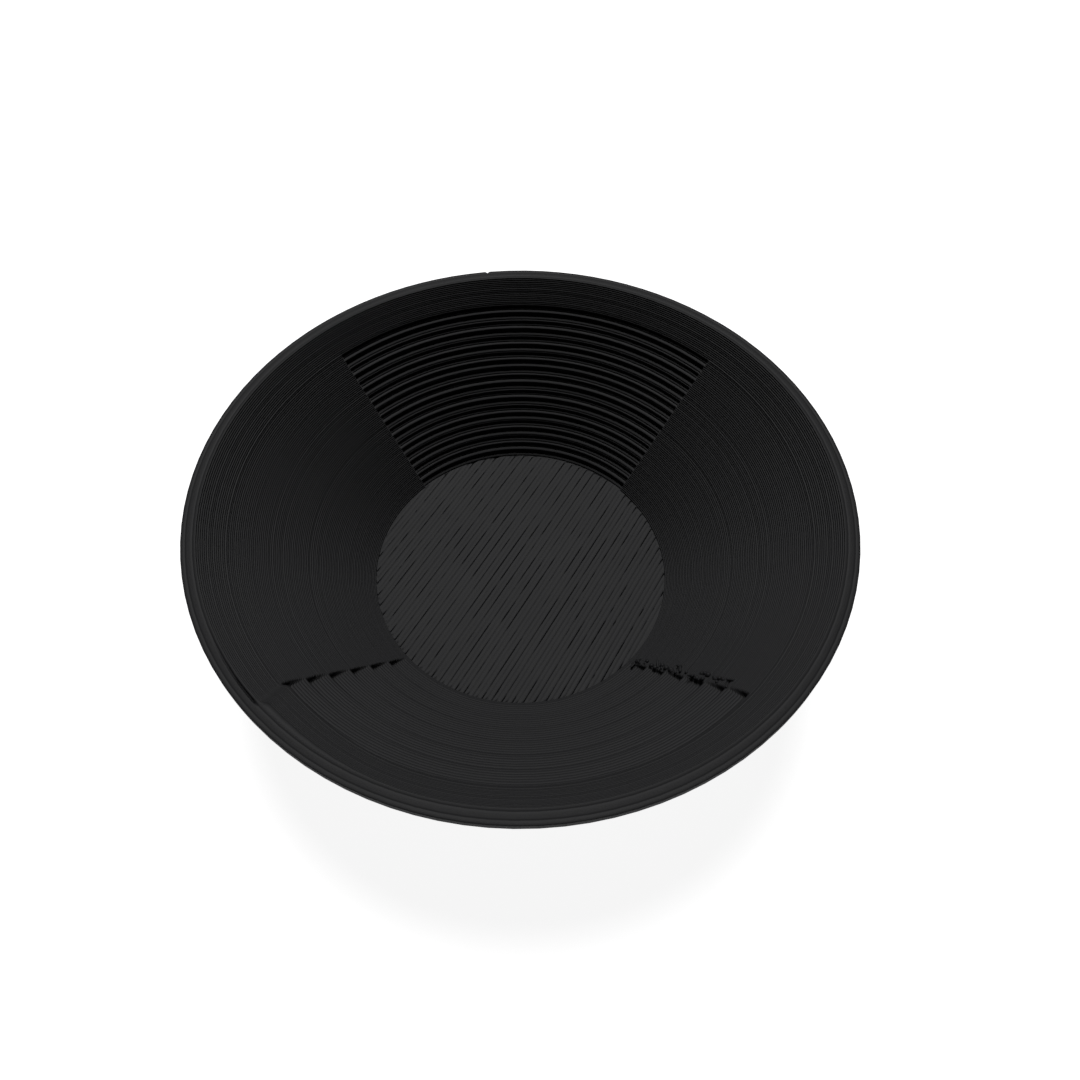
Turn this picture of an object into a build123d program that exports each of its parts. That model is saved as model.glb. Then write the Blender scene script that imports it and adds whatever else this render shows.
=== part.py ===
"""Small one-piece gold pan, printed in layers.

Frame: +Z up, origin at the centre of the flat base, on its underside.
The fine riffles are on the +Y side of the wall and the coarse steps on the -Y side.
"""

import os
from math import cos, hypot, radians, sin, tan

from build123d import *

# Driving dimensions, in millimetres and degrees.
layer = 0.2  # height of one printed layer
rim_r = 44.0  # outermost radius, at the rim
floor_r = 22.0  # radius of the flat inside floor
floor_t = 1.6  # floor thickness
mouth_r = 41.9  # radius where the inside wall meets the rim
mouth_h = 20.6  # height of that edge above the floor's upper face
wall_t = 2.0  # wall thickness, square to the wall
base_chamfer = 0.4  # broken edge around the base
mouth_chamfer = layer  # broken edge where the inside wall meets the rim's flat top

riffle_count = 20
riffle_foot = 0.0  # height above the floor where the riffles start
riffle_pitch = 0.89  # height of one riffle
riffle_tread = 18.0  # rise of a riffle's tread, from level
riffle_sector = 92.5  # angle that the riffles cover
riffle_middle = 90.0  # azimuth of their middle, from +X
step_count = 6
step_foot = 0.5  # height above the floor where the steps start
step_pitch = 2.81  # height of one step
step_tread = 29.3  # rise of a step's tread, from level
step_sector = 90.5  # angle that the steps cover
step_middle = -90.0
cut_margin = 1.0  # how far the cuts reach into the open bowl

# Derived sizes.
wall_run = (mouth_r - floor_r) / mouth_h  # outward run of the wall for each mm of height
mouth_z = floor_t + mouth_h
rim_z = mouth_z + mouth_chamfer
base_r = floor_r - floor_t * wall_run + wall_t * hypot(1, wall_run)
band_foot_z = (rim_r - base_r) / wall_run  # the upright band around the rim starts here


def wall_radius(height):
    """Inside radius of the plain wall at a height above the floor."""
    return floor_r + height * wall_run


def sector_plane(start_angle):
    """Upright plane through +Z, with its x axis at start_angle from +X."""
    a = radians(start_angle)
    return Plane(origin=(0, 0, 0), x_dir=(cos(a), sin(a), 0), z_dir=(sin(a), -cos(a), 0))


def saw_outline(foot, pitch, count, tread):
    """Radius and height around a run of teeth cut back into the wall, from the foot up.

    It closes inside the bowl, so that the teeth's edges stay on the plain wall's line.
    """
    run = pitch * wall_run
    rise = run * tan(radians(tread))
    points = [(wall_radius(foot), floor_t + foot)]
    for k in range(count):
        tread_z = floor_t + foot + k * pitch
        edge_r = wall_radius(foot + (k + 1) * pitch)
        points.append((edge_r, tread_z + rise))
        points.append((edge_r, tread_z + pitch))
    points.append((points[-1][0] - cut_margin, points[-1][1]))
    points.append((points[0][0] - cut_margin, points[0][1]))
    return points


# The bowl: floor, conical wall and flat-topped rim, as one revolved outline.
with BuildPart() as pan:
    with BuildSketch(Plane.XZ):
        with BuildLine():
            Polyline(
                (0, 0),
                (base_r - base_chamfer, 0),
                (base_r + base_chamfer * wall_run, base_chamfer),
                (rim_r, band_foot_z),
                (rim_r, rim_z),
                (mouth_r + mouth_chamfer, rim_z),
                (mouth_r, mouth_z),
                (floor_r, floor_t),
                (0, floor_t),
                close=True,
            )
        make_face()
    revolve(axis=Axis.Z)

    # Fine riffles on the +Y side, then coarse steps on the -Y side.
    for middle, sector, foot, pitch, count, tread in (
        (riffle_middle, riffle_sector, riffle_foot, riffle_pitch, riffle_count, riffle_tread),
        (step_middle, step_sector, step_foot, step_pitch, step_count, step_tread),
    ):
        with BuildSketch(sector_plane(middle - sector / 2)):
            with BuildLine():
                Polyline(*saw_outline(foot, pitch, count, tread), close=True)
            make_face()
        revolve(axis=Axis.Z, revolution_arc=sector, mode=Mode.SUBTRACT)

pan.part.label = "pan"
os.makedirs("parts", exist_ok=True)
export_step(pan.part, "parts/pan.step")
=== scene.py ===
"""Looks of the small gold pan: one black filament print, built up layer by layer.

Meshes are worked out in millimetres, in the frame of the CAD part, and stored in metres.
Azimuths are degrees from +X. The fine riffles face +Y and the coarse steps -Y.
"""

from math import cos, pi, radians, sin, tan

import bpy
import numpy as np
from mathutils import Matrix, Vector


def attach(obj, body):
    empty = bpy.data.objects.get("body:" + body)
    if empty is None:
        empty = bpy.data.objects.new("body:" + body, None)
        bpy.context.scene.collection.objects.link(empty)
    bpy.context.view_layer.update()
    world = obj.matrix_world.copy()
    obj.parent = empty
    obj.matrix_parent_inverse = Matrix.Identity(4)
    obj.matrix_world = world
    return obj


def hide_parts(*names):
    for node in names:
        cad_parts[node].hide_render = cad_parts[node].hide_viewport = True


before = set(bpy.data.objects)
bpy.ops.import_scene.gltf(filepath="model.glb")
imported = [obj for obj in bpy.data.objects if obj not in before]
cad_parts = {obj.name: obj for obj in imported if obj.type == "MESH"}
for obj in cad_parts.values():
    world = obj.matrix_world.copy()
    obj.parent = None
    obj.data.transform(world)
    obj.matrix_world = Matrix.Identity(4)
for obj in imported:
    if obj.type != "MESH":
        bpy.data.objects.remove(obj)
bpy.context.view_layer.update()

MM = 0.001
rng = np.random.default_rng(7)

# The pan's driving sizes, in millimetres and degrees.
LAYER = 0.2  # height of one printed layer
LINE = 0.6563  # width of one extruded line on the floor
RIM_R = 44.0
FLOOR_R = 22.0
FLOOR_T = 1.6
MOUTH_R = 41.9  # the inside wall meets the rim here
MOUTH_H = 20.6  # height of that edge above the floor
WALL_T = 2.0
BASE_CHAMFER = 0.4
RIM_LINE_R = (42.5, 43.4)  # creases between the lines that the rim's flat top is laid in
RIM_CREASE = 0.035  # depth of those creases

# The teeth. turn is the angle over which their ends meet the plain wall.
RIFFLES = {"middle": 90.0, "sector": 92.5, "foot": 0.0, "pitch": 0.89, "count": 20, "tread": 18.0,
           "turn": 0.4}
STEPS = {"middle": 270.0, "sector": 90.5, "foot": 0.5, "pitch": 2.81, "count": 6, "tread": 29.3,
         "turn": 0.6}

WALL_RUN = (MOUTH_R - FLOOR_R) / MOUTH_H
RIM_Z = FLOOR_T + MOUTH_H + LAYER
BASE_R = FLOOR_R - FLOOR_T * WALL_RUN + WALL_T * (1 + WALL_RUN**2) ** 0.5
BAND_FOOT_Z = (RIM_R - BASE_R) / WALL_RUN
TOP_OF_STEPS = STEPS["foot"] + STEPS["pitch"] * STEPS["count"]
LAYERS = round(RIM_Z / LAYER)  # from the bed to the rim
FLOOR_LAYERS = round(FLOOR_T / LAYER)

# The rounded edge that each printed bead has.
BEAD_EDGE = 0.06  # how far the bead's top and foot lie behind its nose
BEAD_NOSE = 0.45  # height of the nose, as a share of the layer
WOBBLE = 0.012  # how far one layer's wall usually stands off the next
RARE_SHARE = 0.14  # this share of the layers stands off further
RARE_WOBBLE = (0.02, 0.045)

# Where the front band stands a little proud, from the printer's seam on.
SEAM_AZ = STEPS["middle"] - STEPS["sector"] / 2  # the left end of the steps
PROUD = 0.6
PROUD_RAMP = 1.5  # degrees that the band takes to come forward
PROUD_SKEW = 2.4  # degrees that the ramp moves on from the steps to the rim
PROUD_FADE = 26.0  # degrees that it takes to fall back

# The slit in the rim's inner crease, which opens towards the seam.
SLIT_REACH = 14.0  # degrees before the seam where it starts
SLIT_OPENS = 12.0  # degrees that it takes to open
SLIT_CLOSES = 0.8  # degrees that it takes to end at the seam
SLIT_DEPTH = 0.5
SLIT_SPREAD = 0.05  # how much wider the crease is where it's open

# The nick in the rim's outer edge.
NICK_AZ = 98.3
NICK_HALF = 0.45  # degrees
NICK_DEPTH = 0.4

# The lines that the floor and the base are laid in.
FLOOR_ANGLE = 150.7  # across the floor's lines
FLOOR_PHASE = 0.24  # the groove nearest the middle lies this far from it
LINE_SHARES = (0, 0.12, 0.2, 0.5, 0.8, 0.88)  # about where a line's points lie across its width
SIDE_SINK = 0.022  # depth of a line's edge, beside its groove
SHOULDER = 0.05  # from that edge to the line's shoulder
SHOULDER_SINK = 0.010  # depth of the shoulder
EDGE_CLEARANCE = 0.16  # across the lines, they stop this far short of the disc's edge
GROOVE_HALF = 0.05
GROOVE_DEPTH = 0.03
GROOVE_VARIES = 0.01
WIDE_GROOVE_EXTRA = 0.03  # how much deeper every second groove is
DASH_ABOVE = 0.3  # such a groove opens where its noise is above this
DASH_DEPTH = 0.4
DASH_SPREAD = 0.012
BASE_GROOVE_HALF = 0.03
BASE_GROOVE_DEPTH = 0.02
BASE_GROOVE_VARIES = 0.008
BASE_EDGE = BASE_R - BASE_CHAMFER - 0.3  # inside the first layer's foot

# Loose filament at the right end of the steps. The ranges are for each strand or lump.
STRANDS = 2  # at each step but the top one
SPREAD_R = 40.0  # the spreads are degrees past the steps' end at this radius
STRAND_SPREAD = (-0.2, 1.9)
STRAND_BACK = (0.0, 2.3)  # inward from the step's edge
STRAND_OFF = (0.0, 0.3)  # off the wall
STRAND_LENGTH = (0.8, 2.2)
STRAND_R = (0.1, 0.2)
LUMPS = 6  # at each step but the top one
LUMP_SPREAD = (0.3, 2.0)
LUMP_BACK = (0.1, 2.4)
LUMP_OFF = (-0.12, 0.06)
LUMP_R = (0.22, 0.46)
LUMP_SHIFT = 0.02  # sideways, as a share of the lump's radius
TUBE_SIDES = 6

# The mesh. The offsets are degrees from the end of the teeth, the seam and the nick.
COLUMN_GAP = 3.5  # about this many degrees between columns on a plain wall
CORNER_OFFSETS = (0.13, 0.3, 0.6, 1.1, 2.0, 3.4)
SEAM_OFFSETS = (1.5, 2.4, 2.8, 3.9, 4.5)
NICK_OFFSETS = (0.2, 0.45, 0.9)
FLOOR_ROWS = 56  # along a line
BASE_ROWS = 12
SHARP_ANGLE = 75.0  # a sharper edge isn't smoothed

# The plastic. Its average colour is about the record's.
PLASTIC_IOR = 1.46
PLASTIC_SPECULAR = 0.30
PATCH_ROUGHNESS = (0.56, 0.58)
LAYER_ROUGHNESS = 0.02  # added or taken away, layer by layer
PATCH_TONE = (0.88, 1.0)
LAYER_TONE = (0.7, 1.0)
DARK = (0.0090, 0.0090, 0.0096, 1)
LIGHT = (0.0262, 0.0262, 0.0282, 1)
PATCH_SCALE = 90
GRAIN_SCALE = 4200
GRAIN_STRENGTH = 0.06
GRAIN_HEIGHT = 0.00003

# The studio, in metres.
STAGE_HALF = 1.5
STAGE_GAP = 0.0001  # below the pan's base
STAGE_WHITE = 0.9
STAGE_GLOW = 0.9  # the floor's own glow: painted light that keeps the cast shadow pale and lights the pan's outside from below
WORLD_STRENGTH = 0.006
SOFTBOX_PLACE = (-0.05, 0.76, 1.46)
SOFTBOX_TARGET = (0, 0, 0.01)
SOFTBOX_SIZE = 0.9
SOFTBOX_POWER = 12.8

# The camera: angles in degrees, and distances from the pan's axis and floor in millimetres.
CAMERA_AZ = -90 + 1.7
CAMERA_OUT = 65.42
CAMERA_UP = 106.28
CAMERA_PITCH = 56.43
CAMERA_ROLL = -0.37
LENS = 27.0
SENSOR = 36.0
SHIFT_X = 0.01833


def smoothstep(x):
    x = np.clip(x, 0, 1)
    return x * x * (3 - 2 * x)


# ---------------------------------------------------------------- columns

def both_ways(offsets):
    """The offsets on both sides of a place, and the place itself."""
    return [side * offset for offset in (0, *offsets) for side in (-1, 1)]


def column_azimuths():
    """Azimuths of the mesh's columns: close together where the wall turns a corner."""
    ends = [s["middle"] + side * s["sector"] / 2 for s in (RIFFLES, STEPS) for side in (-1, 1)]
    fixed = {round((end + offset) % 360, 4) for end in ends for offset in both_ways(CORNER_OFFSETS)}
    fixed |= {round(SEAM_AZ + offset, 4) for offset in SEAM_OFFSETS}
    fixed |= {round(NICK_AZ + offset, 4) for offset in both_ways(NICK_OFFSETS)}
    fixed = sorted(fixed)
    filled = []
    for a, b in zip(fixed, fixed[1:] + [fixed[0] + 360]):
        parts = max(1, round((b - a) / COLUMN_GAP))
        filled += [a + (b - a) * k / parts for k in range(parts)]
    if len(filled) % 2:
        filled.insert(1, (filled[0] + filled[1]) / 2)
    return np.array(sorted(f % 360 for f in filled))


AZ = column_azimuths()
COS, SIN = np.cos(np.radians(AZ)), np.sin(np.radians(AZ))


def from_azimuth(middle):
    """Signed degrees of every column from an azimuth."""
    return (AZ - middle + 180) % 360 - 180


def sector_weight(teeth):
    """1 inside the teeth's sector and 0 outside, turning over a line's rounded corner."""
    inside = teeth["sector"] / 2 - np.abs(from_azimuth(teeth["middle"]))
    return smoothstep(0.5 + inside / teeth["turn"])


# ---------------------------------------------------------------- the printed outline

def plain_radius(height):
    return FLOOR_R + height * WALL_RUN


def saw_radius(teeth, height):
    """Inside radius of the teeth at a height above the floor."""
    foot, pitch, count = teeth["foot"], teeth["pitch"], teeth["count"]
    if not foot <= height < foot + pitch * count:
        return plain_radius(height)
    above = (height - foot) % pitch
    tooth_foot = height - above
    edge = plain_radius(tooth_foot + pitch)
    return min(plain_radius(tooth_foot) + above / tan(radians(teeth["tread"])), edge)


def past_seam(height):
    """Degrees of every column past the seam, which leans on from the steps to the rim."""
    lean = PROUD_SKEW * (height - TOP_OF_STEPS) / (MOUTH_H - TOP_OF_STEPS)
    return (AZ - SEAM_AZ - lean + 180) % 360 - 180


def proud_band(height):
    """How far the band above the steps stands in from the plain wall, by column."""
    past = past_seam(height)
    rise = smoothstep(past / PROUD_RAMP)
    fall = 1 - smoothstep((past - PROUD_RAMP) / PROUD_FADE)
    return PROUD * rise * fall * (height >= TOP_OF_STEPS)


def inner_radius(height):
    """Inside radius of the layer at a height above the floor, for every column."""
    plain = plain_radius(height)
    radius = np.full_like(AZ, plain)
    for teeth in (RIFFLES, STEPS):
        radius += sector_weight(teeth) * (saw_radius(teeth, height) - plain)
    return radius - proud_band(height)


def outer_radius(z):
    if z < BASE_CHAMFER:
        return BASE_R - BASE_CHAMFER + z * (1 + WALL_RUN)
    return min(BASE_R + z * WALL_RUN, RIM_R)


# ---------------------------------------------------------------- mesh building

class Builder:
    """Collects vertices and faces in millimetres."""

    def __init__(self):
        self.points = []
        self.faces = []
        self.count = 0

    def add(self, points):
        """Adds points and returns their indices."""
        points = np.asarray(points, float).reshape(-1, 3)
        self.points.append(points)
        self.count += len(points)
        return np.arange(self.count - len(points), self.count)

    def ring(self, radius, z, step=1):
        """A closed ring with one point on each column, or on every step-th column."""
        radius = np.broadcast_to(radius, AZ.shape)[::step]
        z = np.broadcast_to(z, AZ.shape)[::step]
        return self.add(np.c_[radius * COS[::step], radius * SIN[::step], z])

    def bridge(self, low, high):
        """Quads between two rings of the same length, facing the axis if high is above low."""
        a, b = np.roll(low, -1), np.roll(high, -1)
        self.faces += np.c_[low, high, b, a].tolist()

    def halve(self, full, half):
        """Joins a ring to a lower one with half as many points, facing away from the axis."""
        n = len(half)
        for k in range(n):
            p, q, r = full[2 * k], full[2 * k + 1], full[(2 * k + 2) % len(full)]
            s, t = half[k], half[(k + 1) % n]
            self.faces += [[p, s, q], [q, s, t], [q, t, r]]

    def zip_rings(self, inner, outer, up):
        """Triangles between two rings of different lengths, both in order of azimuth."""
        points = np.concatenate(self.points)
        gap = np.angle((points[inner, 0] + 1j * points[inner, 1])
                       / (points[outer[0], 0] + 1j * points[outer[0], 1]))
        inner = np.roll(inner, -np.argmin(np.abs(gap)))
        one, two = (np.unwrap(np.arctan2(points[r, 1], points[r, 0])) for r in (inner, outer))
        one += 2 * pi * round((two[0] - one[0]) / (2 * pi))
        one = np.append(one, one[0] + 2 * pi)
        two = np.append(two, two[0] + 2 * pi)
        i = j = 0
        n, m = len(inner), len(outer)
        while i < n or j < m:
            if j >= m or (i < n and one[i + 1] <= two[j + 1]):
                face = [inner[i % n], outer[j % m], inner[(i + 1) % n]]
                i += 1
            else:
                face = [inner[i % n], outer[j % m], outer[(j + 1) % m]]
                j += 1
            self.faces.append(face if up else face[::-1])

    def mesh(self, name):
        mesh = bpy.data.meshes.new(name)
        points = np.concatenate(self.points) * MM
        mesh.from_pydata(points.tolist(), [], self.faces)
        mesh.validate()
        return mesh


def raster_disc(build, radius, z, angle, gap, rows, facing_up):
    """A disc of parallel extruded lines. angle is the direction across the lines.

    gap(line, v, half) gives the half width and the depth of the groove that starts a line, at
    the distances v along it. half is half the line's length.
    Returns the disc's edge as indices in order of azimuth.
    """
    across = np.array([cos(radians(angle)), sin(radians(angle))])
    along = np.array([-across[1], across[0]])
    first = -int(radius / LINE) - 1
    t = np.linspace(-1, 1, rows + 1)
    t = t * (1.12 - 0.12 * t * t)  # closer together towards the ends
    grid = []
    for line in range(first, -first + 2):
        left = line * LINE + FLOOR_PHASE
        for point, share in enumerate(LINE_SHARES):
            if abs(left + share * LINE) > radius - EDGE_CLEARANCE:
                continue
            half = (radius**2 - (left + share * LINE) ** 2) ** 0.5
            v = t * half
            width, depth = gap(line, v, half)
            next_width = gap(line + 1, v, half)[0]
            places = (0 * v, width, width + SHOULDER, LINE / 2 + 0 * v,
                      LINE - next_width - SHOULDER, LINE - next_width)
            sinks = (depth, SIDE_SINK, SHOULDER_SINK, 0, SHOULDER_SINK, SIDE_SINK)
            u = places[point] + left
            inside = np.minimum(1, radius / np.hypot(u, v))
            u, v = u * inside, v * inside
            height = z - sinks[point] * (1 if facing_up else -1) + 0 * v
            grid.append(np.c_[u[:, None] * across + v[:, None] * along, height])
    grid = np.array(grid)
    if not facing_up:
        grid[:, :, 2] -= grid[:, :, 2].min()  # the crests lie on the bed
    index = build.add(grid).reshape(grid.shape[:2])
    a, b, c, d = index[:-1, :-1], index[1:, :-1], index[1:, 1:], index[:-1, 1:]
    quads = np.stack([a, b, c, d] if facing_up else [a, d, c, b], axis=-1).reshape(-1, 4)
    build.faces += quads.tolist()
    # The edge runs down one end of the lines, along the last line, back up, and along the first.
    edge = np.concatenate([index[:, 0], index[-1, 1:], index[-2::-1, -1], index[0, -2:0:-1]])
    points = grid.reshape(-1, 3)[edge - index[0, 0]]
    order = np.argsort(np.arctan2(points[:, 1], points[:, 0]))
    return edge[order]


def wave(line, v, scale, seed):
    """Smooth noise from -1 to 1 along a line, different for each line."""
    r = np.random.default_rng(seed * 1000 + line + 500)
    knots = r.uniform(-1, 1, 64)
    x = (v / scale) + 32 + r.uniform(0, 1)
    k = np.clip(x.astype(int), 0, 62)
    return knots[k] + smoothstep(x - k) * (knots[k + 1] - knots[k])


def floor_gap(line, v, half):
    """The groove between two of the floor's lines. Every second one opens in thin dashes."""
    width = GROOVE_HALF + GROOVE_VARIES * wave(line, v, 2.0, 3)
    depth = GROOVE_DEPTH + GROOVE_VARIES * wave(line, v, 1.3, 2)
    if line % 2:
        return width, depth
    dash = 0.45 * wave(line, v, 0.8, 1) + 0.55 * wave(line, v, 5.0, 4)
    open_share = smoothstep((dash - DASH_ABOVE) / 0.12)
    ends = smoothstep((np.abs(v) - half + 0.9) / 0.4)
    open_share = np.maximum(open_share, ends * (wave(line, v, 9, 5) > -0.3))
    return width + DASH_SPREAD * open_share, depth + WIDE_GROOVE_EXTRA + DASH_DEPTH * open_share


def base_gap(line, v, half):
    """The shallow grooves of the first layer, pressed flat on the bed."""
    return BASE_GROOVE_HALF + 0 * v, BASE_GROOVE_DEPTH + BASE_GROOVE_VARIES * wave(line, v, 3.0, 6)


def wobble():
    """How far each layer stands off, mostly little and now and then more."""
    offsets = rng.normal(0, WOBBLE, LAYERS)
    rare = rng.random(LAYERS) < RARE_SHARE
    offsets[rare] += rng.choice([-1, 1], rare.sum()) * rng.uniform(*RARE_WOBBLE, rare.sum())
    return offsets


def build_wall(build):
    """The inside wall from the floor to the rim. Returns its first and last rings."""
    offsets = wobble()
    first = last = None
    for layer in range(FLOOR_LAYERS, LAYERS):
        foot = layer * LAYER
        radius = inner_radius(foot + LAYER / 2 - FLOOR_T) + offsets[layer]
        rings = [build.ring(radius + edge, foot + share * LAYER)
                 for share, edge in ((0, BEAD_EDGE), (BEAD_NOSE, 0), (1, BEAD_EDGE))]
        if first is None:
            first = rings[0]
        else:
            build.bridge(last, rings[0])
        build.bridge(rings[0], rings[1])
        build.bridge(rings[1], rings[2])
        last = rings[2]
    return first, last


def nick(radius):
    """How far the nick pushes in a point of the rim at this radius, by column."""
    share = max(0, (radius - RIM_LINE_R[1]) / (RIM_R - RIM_LINE_R[1]))
    return share * NICK_DEPTH * np.clip(1 - np.abs(from_azimuth(NICK_AZ)) / NICK_HALF, 0, 1)


def slit():
    """0 to 1 by column: how open the crease beside the printer's seam is."""
    before = (SEAM_AZ + PROUD_SKEW - AZ + 180) % 360 - 180
    return smoothstep((SLIT_REACH - before) / SLIT_OPENS) * smoothstep(0.5 + before / SLIT_CLOSES)


def rim_profile():
    """Radius and height of the rings across the rim's top, from the mouth out."""
    open_slit = slit()
    rings = [(MOUTH_R + 0.28, RIM_Z - 0.006)]
    for k, crease in enumerate(RIM_LINE_R):
        opening = open_slit if k == 0 else 0 * open_slit
        lip = 0.11 + SLIT_SPREAD * opening
        bottom = RIM_Z - RIM_CREASE - SLIT_DEPTH * opening
        rings += [
            (crease - 0.22, RIM_Z - 0.004),
            (crease - lip, RIM_Z - 0.012),
            (crease - 0.3 * lip, bottom),
            (crease + 0.3 * lip, bottom),
            (crease + lip, RIM_Z - 0.012),
            (crease + 0.24, RIM_Z - 0.002),
        ]
    rings += [(RIM_R - 0.2, RIM_Z), (RIM_R - 0.08, RIM_Z - 0.015)]
    return rings


def build_outside(build, rim):
    """The rim's top, its band and the outside of the wall, down to the base."""
    last = rim
    for radius, z in rim_profile():
        ring = build.ring(radius - nick(np.mean(radius)), z)
        build.bridge(last, ring)
        last = ring
    offsets = wobble()
    half = False
    for layer in range(LAYERS - 1, -1, -1):
        foot = layer * LAYER
        radius = outer_radius(foot + LAYER / 2)
        if foot + LAYER > BAND_FOOT_Z:
            radius = radius - nick(radius)
            rings = [build.ring(radius - BEAD_EDGE, foot + LAYER - 0.03),
                     build.ring(radius, foot + BEAD_NOSE * LAYER),
                     build.ring(radius - BEAD_EDGE, foot)]
        else:
            radius = radius + offsets[layer]
            rings = [build.ring(radius, foot + BEAD_NOSE * LAYER, 2),
                     build.ring(radius - BEAD_EDGE, foot, 2)]
        if not half and len(rings) == 2:
            build.halve(last, rings[0])
            half = True
        else:
            build.bridge(last, rings[0])
        for a, b in zip(rings, rings[1:]):
            build.bridge(a, b)
        last = rings[-1]
    return last


def tube(build, path, radius):
    """A closed strand along a path, pointed at both ends. radius is one number or one a point."""
    path = np.asarray(path, float)
    along = np.gradient(path, axis=0)
    along /= np.linalg.norm(along, axis=1)[:, None]
    side = np.cross(along, [0.3, 0.2, 1.0])
    side /= np.linalg.norm(side, axis=1)[:, None]
    over = np.cross(along, side)
    turn = np.arange(TUBE_SIDES) * 2 * pi / TUBE_SIDES
    loops = []
    radii = np.broadcast_to(radius, len(path))
    for p, s, o, r in list(zip(path, side, over, radii))[1:-1]:
        loops.append(build.add(p + r * (np.cos(turn)[:, None] * s + np.sin(turn)[:, None] * o)))
    first, last = build.add([path[0]])[0], build.add([path[-1]])[0]
    for k in range(TUBE_SIDES):
        m = (k + 1) % TUBE_SIDES
        build.faces.append([first, loops[0][m], loops[0][k]])
        build.faces.append([last, loops[-1][k], loops[-1][m]])
        for low, high in zip(loops, loops[1:]):
            build.faces.append([low[k], low[m], high[m], high[k]])


def wall_point(azimuth, radius, off=0.0):
    """A point standing off the plain inside wall, square to it."""
    tilt = (1 + WALL_RUN**2) ** 0.5
    z = FLOOR_T + (radius - FLOOR_R) / WALL_RUN + off * WALL_RUN / tilt
    radius = radius - off / tilt
    a = radians(azimuth)
    return np.array([radius * cos(a), radius * sin(a), z])


def build_strings(build):
    """Loose filament at the right end of the steps, on all but the top one."""
    end = STEPS["middle"] + STEPS["sector"] / 2
    for step in range(STEPS["count"] - 1):
        peak = plain_radius(STEPS["foot"] + STEPS["pitch"] * (step + 1))
        for _ in range(STRANDS):
            azimuth = end + rng.uniform(*STRAND_SPREAD) * SPREAD_R / peak
            start = wall_point(azimuth, peak - rng.uniform(*STRAND_BACK), rng.uniform(*STRAND_OFF))
            heading = rng.normal(0, 1, 3) * (1, 1, 0.35)
            heading /= np.linalg.norm(heading)
            bend = rng.normal(0, 0.25, 3)
            length = rng.uniform(*STRAND_LENGTH)
            t = np.linspace(0, 1, 7)[:, None]
            path = start + heading * length * (t - 0.5) + bend * t * (1 - t)
            tube(build, path, rng.uniform(*STRAND_R))
        for _ in range(LUMPS):
            azimuth = end + rng.uniform(*LUMP_SPREAD) * SPREAD_R / peak
            place = wall_point(azimuth, peak - rng.uniform(*LUMP_BACK), rng.uniform(*LUMP_OFF))
            blob(build, place, rng.uniform(*LUMP_R))


def blob(build, place, radius):
    """A small closed lump."""
    t = np.linspace(0, pi, 6)
    path = place + np.c_[LUMP_SHIFT * radius + 0 * t, 0 * t, -radius * np.cos(t)]
    tube(build, path, radius * np.sin(t))


def make_pan():
    build = Builder()
    floor_edge = raster_disc(build, FLOOR_R, FLOOR_T, FLOOR_ANGLE, floor_gap, FLOOR_ROWS, True)
    first, rim = build_wall(build)
    build.zip_rings(floor_edge, first, True)
    outside = build_outside(build, rim)
    base = raster_disc(build, BASE_EDGE, 0.0, FLOOR_ANGLE - 90, base_gap, BASE_ROWS, False)
    build.zip_rings(base, outside, False)
    build_strings(build)
    mesh = build.mesh("printed_pan")
    mesh.polygons.foreach_set("use_smooth", [True] * len(mesh.polygons))
    mesh.set_sharp_from_angle(angle=radians(SHARP_ANGLE))
    pan = bpy.data.objects.new("printed_pan", mesh)
    bpy.context.scene.collection.objects.link(pan)
    return pan


# ---------------------------------------------------------------- material

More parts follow.
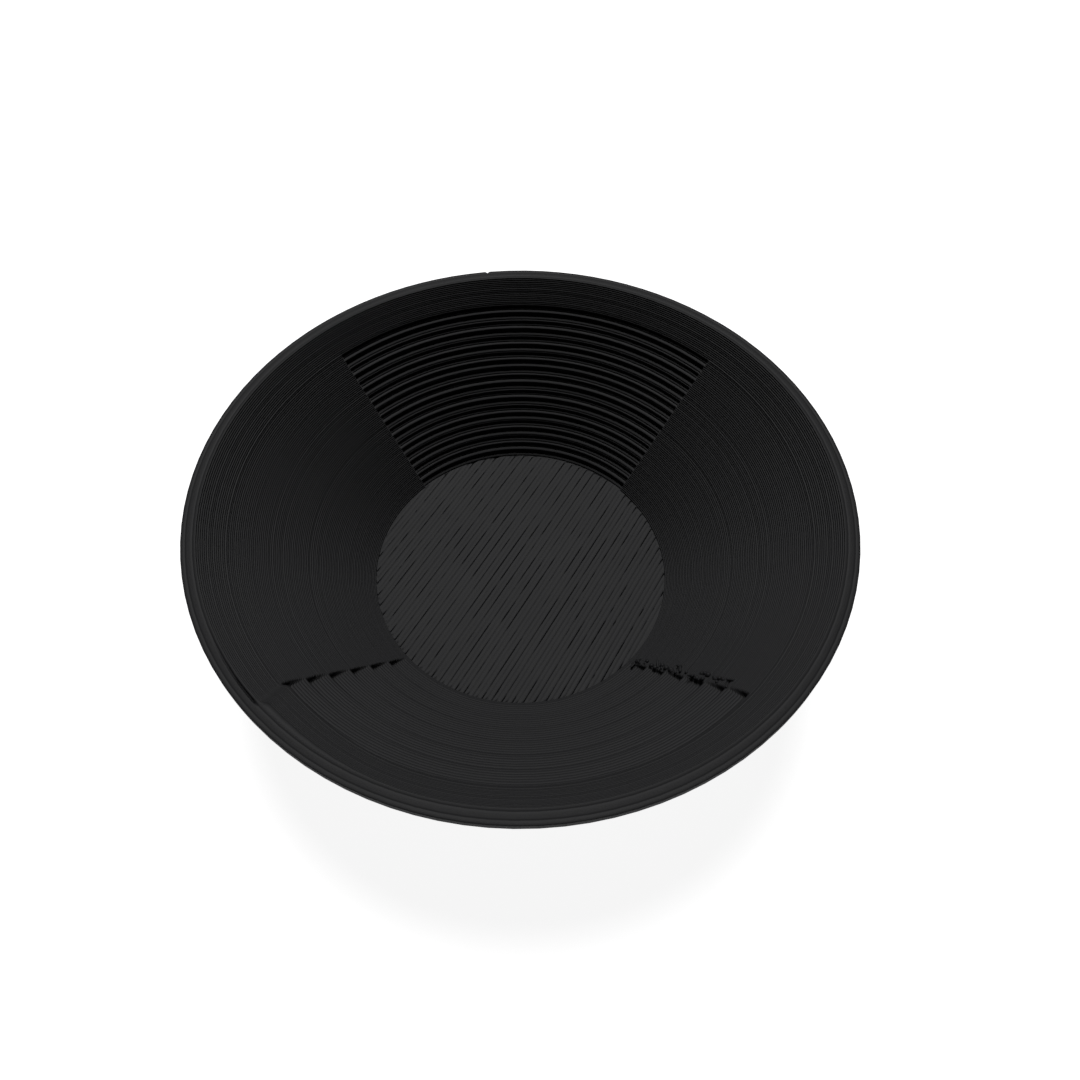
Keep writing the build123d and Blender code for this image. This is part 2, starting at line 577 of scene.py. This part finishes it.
def black_plastic():
    """Satin black filament: each layer a little different, fine grain, a few duller patches."""
    material = bpy.data.materials.new("black_filament")
    material.use_nodes = True
    nodes, links = material.node_tree.nodes, material.node_tree.links
    shader = nodes["Principled BSDF"]
    shader.inputs["IOR"].default_value = PLASTIC_IOR
    shader.inputs["Specular IOR Level"].default_value = PLASTIC_SPECULAR

    place = nodes.new("ShaderNodeTexCoord").outputs["Object"]

    def noise(scale, detail):
        node = nodes.new("ShaderNodeTexNoise")
        node.inputs["Scale"].default_value = scale
        node.inputs["Detail"].default_value = detail
        links.new(place, node.inputs["Vector"])
        return node.outputs["Fac"]

    def remap(value, low, high, new_low, new_high):
        node = nodes.new("ShaderNodeMapRange")
        names = ("From Min", "From Max", "To Min", "To Max")
        for name, number in zip(names, (low, high, new_low, new_high)):
            node.inputs[name].default_value = number
        links.new(value, node.inputs["Value"])
        return node.outputs["Result"]

    def maths(operation, one, two):
        node = nodes.new("ShaderNodeMath")
        node.operation = operation
        links.new(one, node.inputs[0])
        if isinstance(two, (int, float)):
            node.inputs[1].default_value = two
        else:
            links.new(two, node.inputs[1])
        return node.outputs["Value"]

    split = nodes.new("ShaderNodeSeparateXYZ")
    links.new(place, split.inputs["Vector"])
    layer_number = maths("FLOOR", maths("MULTIPLY", split.outputs["Z"], 1 / (LAYER * MM)), 0)
    by_layer = nodes.new("ShaderNodeTexWhiteNoise")
    by_layer.noise_dimensions = "1D"
    links.new(layer_number, by_layer.inputs["W"])

    patches = noise(PATCH_SCALE, 3)
    roughness = maths("ADD", remap(patches, 0.35, 0.65, *PATCH_ROUGHNESS),
                      remap(by_layer.outputs["Value"], 0, 1, -LAYER_ROUGHNESS, LAYER_ROUGHNESS))
    links.new(roughness, shader.inputs["Roughness"])

    shade = nodes.new("ShaderNodeMix")
    shade.data_type = "RGBA"
    tone = maths("MULTIPLY", remap(patches, 0.3, 0.7, *PATCH_TONE),
                 remap(by_layer.outputs["Value"], 0, 1, *LAYER_TONE))
    links.new(tone, shade.inputs["Factor"])
    shade.inputs["A"].default_value = DARK
    shade.inputs["B"].default_value = LIGHT
    links.new(shade.outputs["Result"], shader.inputs["Base Color"])

    bump = nodes.new("ShaderNodeBump")
    bump.inputs["Strength"].default_value = GRAIN_STRENGTH
    bump.inputs["Distance"].default_value = GRAIN_HEIGHT
    links.new(noise(GRAIN_SCALE, 2), bump.inputs["Height"])
    links.new(bump.outputs["Normal"], shader.inputs["Normal"])
    return material


# ---------------------------------------------------------------- stage, light and camera

def make_stage():
    mesh = bpy.data.meshes.new("stage_floor")
    s = STAGE_HALF
    mesh.from_pydata([(-s, -s, 0), (s, -s, 0), (s, s, 0), (-s, s, 0)], [], [(0, 1, 2, 3)])
    floor = bpy.data.objects.new("stage_floor", mesh)
    bpy.context.scene.collection.objects.link(floor)
    material = bpy.data.materials.new("stage_white")
    material.use_nodes = True
    shader = material.node_tree.nodes["Principled BSDF"]
    shader.inputs["Base Color"].default_value = (STAGE_WHITE, STAGE_WHITE, STAGE_WHITE, 1)
    shader.inputs["Roughness"].default_value = 1.0
    shader.inputs["Specular IOR Level"].default_value = 0.0
    # The floor glows, though it is no lamp: painted light that lifts its cast shadow and lights the
    # pan's outside from below.
    shader.inputs["Emission Color"].default_value = (1, 1, 1, 1)
    shader.inputs["Emission Strength"].default_value = STAGE_GLOW
    mesh.materials.append(material)
    floor.location.z = -STAGE_GAP
    return floor


def area_light(name, place, target, size, power):
    data = bpy.data.lights.new(name, "AREA")
    data.shape = "DISK"
    data.size = size
    data.energy = power
    light = bpy.data.objects.new(name, data)
    light.location = place
    light.rotation_euler = (Vector(target) - Vector(place)).to_track_quat("-Z", "Y").to_euler()
    bpy.context.scene.collection.objects.link(light)


def make_light():
    world = bpy.data.worlds.new("studio")
    world.use_nodes = True
    background = world.node_tree.nodes["Background"]
    background.inputs["Color"].default_value = (1, 1, 1, 1)
    background.inputs["Strength"].default_value = WORLD_STRENGTH
    bpy.context.scene.world = world
    area_light("back_softbox", SOFTBOX_PLACE, SOFTBOX_TARGET, SOFTBOX_SIZE, SOFTBOX_POWER)


def make_camera():
    data = bpy.data.cameras.new("camera")
    data.lens, data.sensor_width = LENS, SENSOR
    data.shift_x = SHIFT_X
    data.clip_start = 0.005
    camera = bpy.data.objects.new("camera", data)
    a, p, r = radians(CAMERA_AZ), radians(CAMERA_PITCH), radians(CAMERA_ROLL)
    out = Vector((cos(a), sin(a), 0))
    forward = -out * cos(p) - Vector((0, 0, sin(p)))
    right = Vector((-sin(a), cos(a), 0))
    up = right.cross(forward)
    right, up = right * cos(r) + up * sin(r), up * cos(r) - right * sin(r)
    place = (out * CAMERA_OUT + Vector((0, 0, CAMERA_UP + FLOOR_T))) * MM
    turn = Matrix((right, up, -forward)).transposed().to_4x4()
    camera.matrix_world = Matrix.Translation(place) @ turn
    bpy.context.scene.collection.objects.link(camera)
    bpy.context.scene.camera = camera


pan = make_pan()
pan.data.materials.append(black_plastic())
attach(pan, "root")
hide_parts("pan")

make_stage()
make_light()
make_camera()
bpy.context.scene.view_settings.view_transform = "Standard"
